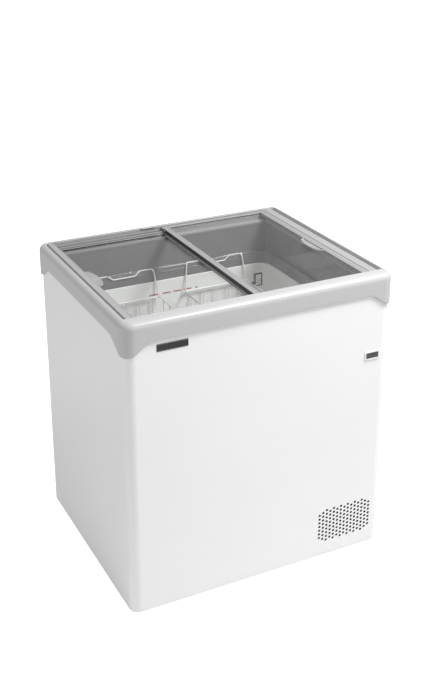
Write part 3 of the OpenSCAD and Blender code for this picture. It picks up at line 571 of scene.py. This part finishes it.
LINER_SHEET = 0.0012     # metres
bend = 14                # radius of the tub's bent edges
liner_section = [(-9, LINER_TOP, LINER_R + 9), (-1.2, LINER_TOP, LINER_R + 1.2),
                 (-0.3, LINER_TOP - 0.4, LINER_R + 0.3), (0, LINER_TOP - 1.4, LINER_R),
                 (0, HUMP_TOP, LINER_R)]
for k in range(7):
    t = math.pi / 2 * k / 6
    inset = bend - bend * math.cos(t)
    liner_section.append((inset, FLOOR + bend - bend * math.sin(t), LINER_R - inset))
bm = bmesh.new()
add_ring(bm, liner_section, LINER_X, LINER_Y, closed=False)
edge = [v for v in bm.verts if abs(v.co.z - FLOOR * MM) < 1e-7]
edge.sort(key=lambda v: math.atan2(v.co.y, v.co.x))
bm.faces.new(edge)
finish_mesh("liner_tub", bm, "cabinet", LINER, ["inner_liner"], sharp=50, thick=LINER_SHEET)


def liner_half_width(x):
    """Half the tub's width, front to back, at x: less where its corners are round."""
    past = max(0, x - LINER_X + LINER_R)
    return LINER_Y - LINER_R + math.sqrt(max(0, LINER_R ** 2 - past ** 2))


# the step over the machine compartment: its top, its rounded edge and its face
bm = bmesh.new()
STEP_END = LINER_X - 2
rows = [(STEP_END - (LINER_R - 2) * (1 - math.cos(math.pi / 2 * k / 8)), HUMP_TOP) for k in range(9)]
rows += [(HUMP_X + bend - bend * math.sin(t), HUMP_TOP - bend + bend * math.cos(t))
         for t in (math.pi / 2 * k / 8 for k in range(9))]
rows = [(x, liner_half_width(x), z) for x, z in rows + [(HUMP_X, FLOOR + 2)]]
pairs = [[bm.verts.new((x * MM, side * y * MM, z * MM)) for side in (-1, 1)] for x, y, z in rows]
for a, b in zip(pairs[:-1], pairs[1:]):
    bm.faces.new((a[0], a[1], b[1], b[0]))
finish_mesh("liner_step", bm, "cabinet", LINER, sharp=50, thick=LINER_SHEET)

lo, hi = box_mm("load_limit_strip")
bm = bmesh.new()
DASH, GAP = 26, 9
x = lo.x
while x < hi.x - 4:
    end = min(x + DASH, hi.x)
    section = rounded(rectangle(x, end, lo.z + 0.8, hi.z - 0.8), 0.6, 3)
    add_bar(bm, section, hi.y - 0.35, hi.y - 0.02, "y")
    x = end + GAP
finish_mesh("load_limit_mark", bm, "cabinet", RED, ["load_limit_strip"])
bm = bmesh.new()
for a, b in ((lo.x - 7, lo.x - 2), (hi.x + 2, hi.x + 7)):
    add_block(bm, a, b, hi.y - 0.35, hi.y - 0.02, lo.z, hi.z)
finish_mesh("load_limit_ends", bm, "cabinet", BLACK, bevel=0.0001)


# ---------- lids ----------
def lid_bar(name, node, body, glass_side):
    """End profile: a moulding with rounded top edges and a shallow groove beside the glass."""
    lo, hi = box_mm(node)
    a, b = (lo.x, hi.x) if glass_side > 0 else (hi.x, lo.x)
    groove = a + glass_side * 0.62 * (hi.x - lo.x)
    points = [(a, lo.z), (a, hi.z), (groove, hi.z), (groove + glass_side * 0.4, hi.z - 0.5),
              (groove + glass_side * 1.4, hi.z - 0.5), (groove + glass_side * 1.8, hi.z), (b, hi.z),
              (b, lo.z)]
    bm = bmesh.new()
    add_bar(bm, rounded(points, [0.6, 1.5, 0, 0, 0, 0, 1.0, 0.6], 4), lo.y, hi.y, "y")
    finish_mesh(name, bm, body, LID, [node], sharp=30)


lid_bar("right_lid_end_moulding", "right_lid_end_profile", "right_lid", -1)
lid_bar("right_lid_bar_moulding", "right_lid_centre_bar", "right_lid", 1)
lid_bar("left_lid_end_moulding", "left_lid_end_profile", "left_lid", 1)
lid_bar("left_lid_inner_moulding", "left_lid_inner_profile", "left_lid", -1)


def lid_pane(side):
    node = side + "_lid_glass"
    lo, hi = box_mm(node)
    bm = bmesh.new()
    add_bar(bm, rounded(rectangle(lo.y, hi.y, lo.z, hi.z), 0.8, 3), lo.x, hi.x, "x")
    finish_mesh(side + "_lid_pane", bm, side + "_lid", GLASS, [node], sharp=60)


def lid_runners(side, mat):
    """The lid's two runners, each with a slot for the glass and a fine groove along its top."""
    lo, hi = box_mm(side + "_lid_glides")
    glass_lo, glass_hi = box_mm(side + "_lid_glass")
    inner = box_mm(side + "_lid_end_profile")[1].y + 0.2
    bm = bmesh.new()
    for s in (-1, 1):
        section = [(inner, lo.z), (inner, glass_lo.z + 0.2), (glass_hi.y - 0.4, glass_lo.z + 0.2),
                   (glass_hi.y - 0.4, glass_hi.z - 0.05), (inner, glass_hi.z - 0.05), (inner, hi.z - 0.8),
                   (inner + 0.8, hi.z), (hi.y - 5.0, hi.z), (hi.y - 4.6, hi.z - 0.6),
                   (hi.y - 3.6, hi.z - 0.6), (hi.y - 3.2, hi.z), (hi.y - 1.0, hi.z), (hi.y, hi.z - 1.0),
                   (hi.y, lo.z + 0.6), (hi.y - 0.6, lo.z)]
        add_bar(bm, [(s * y, z) for y, z in section], lo.x, hi.x, "x")
    finish_mesh(side + "_lid_runners", bm, side + "_lid", mat, [side + "_lid_glides"], bevel=0.0004,
                sharp=50)
    return lo, hi, inner


def edge_beads(lo, hi, inner):
    """Strips of the lid plastic along both edges of the lower lid's runners, whose dark middle is painted
    shade.
    """
    bm = bmesh.new()
    for s in (-1, 1):
        for y in (inner + 0.2, hi.y - 1.9):
            section = [(y, hi.z - 0.5), (y + 1.6, hi.z - 0.5), (y + 1.4, hi.z + 0.12), (y + 0.2, hi.z + 0.12)]
            add_bar(bm, [(s * p, q) for p, q in section], lo.x + 0.4, hi.x - 0.4, "x")
    finish_mesh("left_lid_edge_beads", bm, "left_lid", LID, sharp=30)


lid_pane("right")
lid_runners("right", LID)
lid_pane("left")
# the lower lid's runners take the dark throat plastic as painted shade for their low place under the upper
# track
edge_beads(*lid_runners("left", THROAT))


def grip(name, node, body, side):
    """Half-moon finger grip: a thin rim round a dished pocket. side is +1 where it grows towards -X."""
    lo, hi = box_mm(node)
    half, reach, mid_y = (hi.y - lo.y) / 2, hi.x - lo.x, (hi.y + lo.y) / 2
    edge_x = hi.x if side > 0 else lo.x
    steps = 40
    rims = ((0.0, lo.z), (0.0, hi.z - 0.5), (0.6, hi.z), (2.2, hi.z), (2.9, hi.z - 0.7), (4.5, lo.z + 1.3),
            (9.0, lo.z + 0.7))
    bm = bmesh.new()
    loops = []
    for inset, z in rims:
        loop = []
        for k in range(steps + 1):
            t = math.pi * (k / steps - 0.5)
            x = (reach - inset) * max(0, math.cos(t)) ** 0.8 if 0 < k < steps else 0
            y = (half - inset) * math.sin(t)
            loop.append(bm.verts.new(((edge_x - side * x) * MM, (mid_y + y) * MM, z * MM)))
        loops.append(loop)
    for a, b in zip(loops[:-1], loops[1:]):
        for k in range(steps):
            bm.faces.new((a[k], a[k + 1], b[k + 1], b[k]))
    bm.faces.new(loops[-1])
    bm.faces.new(list(reversed(loops[0])))
    bm.faces.new(list(reversed([loop[0] for loop in loops])))
    bm.faces.new([loop[-1] for loop in loops])
    finish_mesh(name, bm, body, GRIP, [node], sharp=50)


grip("right_lid_finger_grip", "right_lid_grip", "right_lid", 1)
grip("left_lid_finger_grip", "left_lid_grip", "left_lid", -1)
dress("right_lid_brush", SEAL)


# ---------- baskets ----------
RIM_R, WIRE_R, HANGER_R = 2.5, 1.8, 2.2
BASKET_Y, BASKET_H = 247, 230                        # half its depth and its height
POST_Y, REST_Y = THROAT_Y - 13.5, THROAT_Y - 5       # a handle's upright part and the part on the ledge


def basket(name, node):
    """Rim, middle ring, two families of hoops and a bent handle at each end."""
    lo, hi = box_mm(node)
    mid = (lo.x + hi.x) / 2
    hx = (hi.x - lo.x) / 2 - RIM_R
    top = hi.z - HANGER_R - RIM_Z
    bm = bmesh.new()

    def put(points):
        return [(mid + p[0], p[1], RIM_Z + p[2]) for p in points]

    def level_ring(z, r):
        points = [(x, y, z) for x, y in rectangle(-hx, hx, -BASKET_Y, BASKET_Y)]
        add_tube(bm, put(rounded(points, 7, 6)), r, 12, closed=True)

    def hoop(points):
        add_tube(bm, put(wire_path(points, 9)), WIRE_R, 8)

    level_ring(0, RIM_R)
    level_ring(-BASKET_H / 2, WIRE_R)
    x, bottom = hx - 0.5, -BASKET_H
    for i in range(-5, 6):
        y = i * 43
        hoop([(-x, y, 0), (-x, y, bottom), (x, y, bottom), (x, y, 0)])
    y, bottom = BASKET_Y - 0.5, 3 - BASKET_H
    for i in range(-2, 3):
        x = i * 42
        hoop([(x, -y, 0), (x, -y, bottom), (x, y, bottom), (x, y, 0)])
    for s in (-1, 1):
        post_y, rest_y = s * POST_Y, s * REST_Y
        half = [(hx - 2, s * (BASKET_Y - 2), 0), (hx - 13, post_y, top), (hx - 19, rest_y, top),
                (hx - 54, rest_y, top), (hx - 60, post_y, top), (hx - 72, post_y, top - 10)]
        whole = half + [(-p[0], p[1], p[2]) for p in reversed(half)]
        add_tube(bm, put(wire_path(whole, [0, 7, 4, 4, 4, 9, 9, 4, 4, 4, 7, 0])), HANGER_R, 10)
    finish_mesh(name, bm, node, WIRE, [node], sharp=60)


basket("left_wire_basket", "left_basket")
basket("right_wire_basket", "right_basket")


def thermometer():
    """A white scale in a ladder-like black frame, with a hook over the basket's rim."""
    lo, hi = box_mm("basket_thermometer")
    left, right, front, back, foot = lo.x + 5, hi.x, lo.y + 4, lo.y + 12, RIM_Z - 5
    hook = hi.z - 29.2
    rail_w = 3.4
    y0, y1 = lo.y + 0.5, hi.y - 0.5
    bm = bmesh.new()
    add_bar(bm, rounded(rectangle(left, right, foot, hi.z), 2.0, 4), front + 1.2, back, "y")
    add_block(bm, left - 5, left + 1, y0, y1, hook - 3, hook)
    add_block(bm, left + 0.1, left + 1.6, y0, y1, lo.z + 0.5, hook)
    for x0, x1, z0, z1 in ((left, left + rail_w, foot, hi.z), (right - rail_w, right, foot, hi.z),
                           (left, right, foot, foot + rail_w), (left, right, hi.z - rail_w, hi.z)):
        add_block(bm, x0, x1, front, front + 1.3, z0, z1)
    for k in range(1, 5):
        z = foot + rail_w + 6.6 * k
        add_block(bm, left + 3, right - 3, front + 0.4, front + 1.3, z - 0.7, z + 0.7)
    finish_mesh("thermometer_case", bm, "right_basket", BLACK, ["basket_thermometer"],
                bevel=0.0003)
    bm = bmesh.new()
    add_block(bm, left + 3.2, right - 3.2, front + 0.9, front + 1.25, foot + 3.2, hi.z - 3.2)
    finish_mesh("thermometer_scale", bm, "right_basket", BEZEL)


thermometer()


# ---------- front fittings ----------
def middle_and_half(node):
    """Middle and half size of a front fitting, as x and z, and its back and front y."""
    lo, hi = box_mm(node)
    return (lo.x + hi.x) / 2, (lo.z + hi.z) / 2, (hi.x - lo.x) / 2, (hi.z - lo.z) / 2, hi.y, lo.y


def plate_on_front(bm, cx, cz, hx, hz, r, back, front):
    """Plate with rounded corners on the front face, from y = back to y = front."""
    add_bar(bm, rounded(rectangle(cx - hx, cx + hx, cz - hz, cz + hz), r, 5), front, back, "y")


def badge():
    """Plain plate with a thin line above and below, and no lettering."""
    cx, cz, hx, hz, back, front = middle_and_half("name_plate")
    bm = bmesh.new()
    plate_on_front(bm, cx, cz, hx, hz - 1, 2.0, back, front + 0.35)
    finish_mesh("plain_badge", bm, "cabinet", BLACK, ["name_plate"], bevel=0.0004)
    bm = bmesh.new()
    line_x, line_z = hx - 3, hz - 1.5
    for low, high in ((0.88, 0.92), (-0.92, -0.88)):
        add_block(bm, cx - line_x, cx + line_x, front, front + 0.4, cz + low * line_z, cz + high * line_z)
    finish_mesh("badge_lines", bm, "cabinet", ZINC)


def display():
    cx, cz, hx, hz, back, front = middle_and_half("display_bezel")
    window_x, window_z = 19, hz - 4
    outer = rounded(rectangle(-hx, hx, -hz, hz), 2.6, 5)
    inner = rounded(rectangle(-window_x, window_x, -window_z, window_z), 1.0, 5)
    levels = [(outer, back, 0), (outer, front + 0.9, 0), (outer, front, 0.9), (inner, front, -1.0),
              (inner, front + 1.2, 0), (inner, back, 0)]
    bm = bmesh.new()
    loops = []
    for points, y, shrink in levels:
        loop = []
        for p in points:
            x = p.x - shrink * math.copysign(1, p.x)
            z = p.y - shrink * math.copysign(1, p.y)
            loop.append(bm.verts.new(((cx + x) * MM, y * MM, (cz + z) * MM)))
        loops.append(loop)
    for a, b in zip(loops, loops[1:] + loops[:1]):
        for k in range(len(a)):
            bm.faces.new((a[k], a[(k + 1) % len(a)], b[(k + 1) % len(a)], b[k]))
    finish_mesh("display_surround", bm, "cabinet", BEZEL, ["display_bezel"], sharp=50)
    lo, hi = box_mm("display_window")
    bm = bmesh.new()
    plate_on_front(bm, cx, cz, window_x, window_z, 1.0, hi.y, lo.y)
    finish_mesh("display_lens", bm, "cabinet", WINDOW, ["display_window"], bevel=0.0003)


badge()
display()
dress("display_module", BLACK)


# ---------- machine compartment ----------
dress("compressor_shell", BLACK_STEEL, 0.002, 30, 3)
dress("compressor_feet", RUBBER, 0.001)
dress("compressor_terminal_box", BLACK, 0.0015)
# fins and blades behind the front holes are kept near black as painted shade of the compartment
dress("condenser_fins", SHADE_DARK_ALLOY)
dress("condenser_tube", COPPER)
dress("fan_shroud", BLACK, 0.0005)
dress("fan_motor", BLACK, 0.0008)
dress("fan_blades", SHADE_DARK_ALLOY, 0.0003)
dress("filter_drier", COPPER)
dress("refrigerant_lines", COPPER)
dress("thermostat_body", BLACK, 0.0008)
dress("drain_tube", BEZEL)


# ---------- fittings at the back ----------
SCREW_X, SCREW_LEVELS = 346, (60, 245, 430, 615, 735)
screws = [(sx * SCREW_X, z) for sx in (-1, 1) for z in SCREW_LEVELS]
lo, hi = box_mm("back_panel_screws")
bm = bmesh.new()
for x, z in screws:
    profile = [(0, hi.y), (1.2, hi.y), (2.6, hi.y - 0.35), (3.6, hi.y - 1.0), (4.0, hi.y - 1.7),
               (4.0, hi.y - 2.0), (2.0, hi.y - 2.0), (2.0, lo.y + 1), (0, lo.y)]
    add_lathe(bm, profile, (x, 0, z), "y", 24)
finish_mesh("panel_screws", bm, "cabinet", ZINC, ["back_panel_screws"], sharp=50)
# black crosses on the screw heads: painted shade in their recesses
bm = bmesh.new()
for x, z in screws:
    for a, b in ((2.2, 0.45), (0.45, 2.2)):
        add_block(bm, x - a, x + a, hi.y - 0.5, hi.y + 0.02, z - b, z + b)
finish_mesh("screw_recess_shade", bm, "cabinet", BLACK)

dress("thermostat_knob", BLACK, 0.0004)
lo, hi = box_mm("thermostat_knob")
cx, cz = (lo.x + hi.x) / 2, (lo.z + hi.z) / 2
bm = bmesh.new()
add_block(bm, cx - 0.6, cx + 0.6, hi.y - 0.1, hi.y + 0.12, cz + 4, cz + 12.5)
finish_mesh("knob_pointer", bm, "thermostat_knob", BEZEL)
dress("cord_gland", BLACK, 0.0006)

lo, hi = box_mm("drain_plug")
cx, cy = (lo.x + hi.x) / 2, (lo.y + hi.y) / 2
bm = bmesh.new()
profile = [(0, lo.z), (7.4, lo.z), (8.1, lo.z + 0.8), (8.1, FLOOR + 0.3), (11.4, FLOOR + 0.3),
           (12, FLOOR + 1.0), (12, FLOOR + 2.6), (11.2, FLOOR + 3.3), (6.2, FLOOR + 3.5), (5.0, FLOOR + 4.6),
           (4.4, FLOOR + 8), (5.0, hi.z - 1.2), (4.4, hi.z - 0.3), (3.6, hi.z), (0, hi.z)]
add_lathe(bm, profile, (cx, cy, 0), "z", 40)
finish_mesh("rubber_drain_plug", bm, "drain_plug", RUBBER, ["drain_plug"], sharp=50)


# ---------- castors ----------
dress("castor_plates", ZINC, 0.0006)
dress("castor_bolts", ZINC, 0.0004)
for corner in ("fl", "fr", "bl", "br"):
    dress("castor_fork_" + corner, ZINC, 0.0005)
    lo, hi = box_mm("castor_wheel_" + corner)
    mid = (lo + hi) / 2
    half, r = (hi.y - lo.y) / 2, (hi.z - lo.z) / 2
    bm = bmesh.new()
    side = [(3.06, half), (5.0, half), (5.4, half - 0.8), (10.6, half - 1.6), (11.2, half - 0.5),
            (13.2, half), (r - 1.4, half - 0.1), (r - 0.4, half - 0.9), (r, half - 2.2)]
    profile = side + [(a, -h) for a, h in reversed(side)]
    add_lathe(bm, profile + [profile[0]], mid, "y", 56)
    finish_mesh("castor_tread_" + corner, bm, "castor_wheel_" + corner, CASTOR,
                ["castor_wheel_" + corner], sharp=40)


# ---------- stage and light ----------
def camera_switch(tree, others, camera, output):
    """Camera rays meet one shader and all other rays meet another."""
    seen = tree.nodes.new("ShaderNodeLightPath")
    pick = tree.nodes.new("ShaderNodeMixShader")
    tree.links.new(seen.outputs["Is Camera Ray"], pick.inputs["Fac"])
    tree.links.new(others, pick.inputs[1])
    tree.links.new(camera, pick.inputs[2])
    tree.links.new(pick.outputs["Shader"], tree.nodes[output].inputs["Surface"])


def stage_floor(albedo, shine):
    """Large matte floor that shows pure white but lights the object as a pale matte floor would."""
    mesh = bpy.data.meshes.new("floor")
    bm = bmesh.new()
    bmesh.ops.create_grid(bm, x_segments=1, y_segments=1, size=14)
    bm.to_mesh(mesh)
    bm.free()
    obj = bpy.data.objects.new("floor", mesh)
    bpy.context.scene.collection.objects.link(obj)
    mat = bpy.data.materials.new("pale_floor")
    mat.use_nodes = True
    tree = mat.node_tree
    tree.nodes.remove(tree.nodes["Principled BSDF"])
    matte = tree.nodes.new("ShaderNodeBsdfDiffuse")
    matte.inputs["Color"].default_value = (albedo, albedo, albedo, 1)
    glow = tree.nodes.new("ShaderNodeEmission")
    glow.inputs["Strength"].default_value = shine
    both = tree.nodes.new("ShaderNodeAddShader")
    tree.links.new(matte.outputs["BSDF"], both.inputs[0])
    tree.links.new(glow.outputs["Emission"], both.inputs[1])
    camera_switch(tree, matte.outputs["BSDF"], both.outputs["Shader"], "Material Output")
    mesh.materials.append(mat)


def studio_sky(light, shown):
    """Even white sky: light is its strength on the object, shown its strength as a backdrop."""
    world = bpy.data.worlds.new("studio")
    bpy.context.scene.world = world
    world.use_nodes = True
    tree = world.node_tree
    sky = tree.nodes["Background"]
    backdrop = tree.nodes.new("ShaderNodeBackground")
    for node, strength in ((sky, light), (backdrop, shown)):
        node.inputs["Color"].default_value = (1, 1, 1, 1)
        node.inputs["Strength"].default_value = strength
    camera_switch(tree, sky.outputs["Background"], backdrop.outputs["Background"], "World Output")


def softbox(name, at, aim, size, watts):
    """Rectangular lamp at one point that faces another, in metres."""
    light = bpy.data.lights.new(name, "AREA")
    light.shape = "RECTANGLE"
    light.size, light.size_y = size
    light.energy = watts
    obj = bpy.data.objects.new(name, light)
    obj.location = at
    obj.rotation_mode = "QUATERNION"
    obj.rotation_quaternion = (Vector(aim) - Vector(at)).to_track_quat("-Z", "Y")
    bpy.context.scene.collection.objects.link(obj)


stage_floor(albedo=0.85, shine=1.0)
studio_sky(light=0.58, shown=1.0)
softbox("key", (1.0, -1.0, 2.65), (0.1, -0.1, 0.7), (0.9, 0.7), 62)
softbox("left_fill", (-3.2, 0.3, 0.35), (-0.4, 0.0, 0.4), (2.4, 0.7), 10)
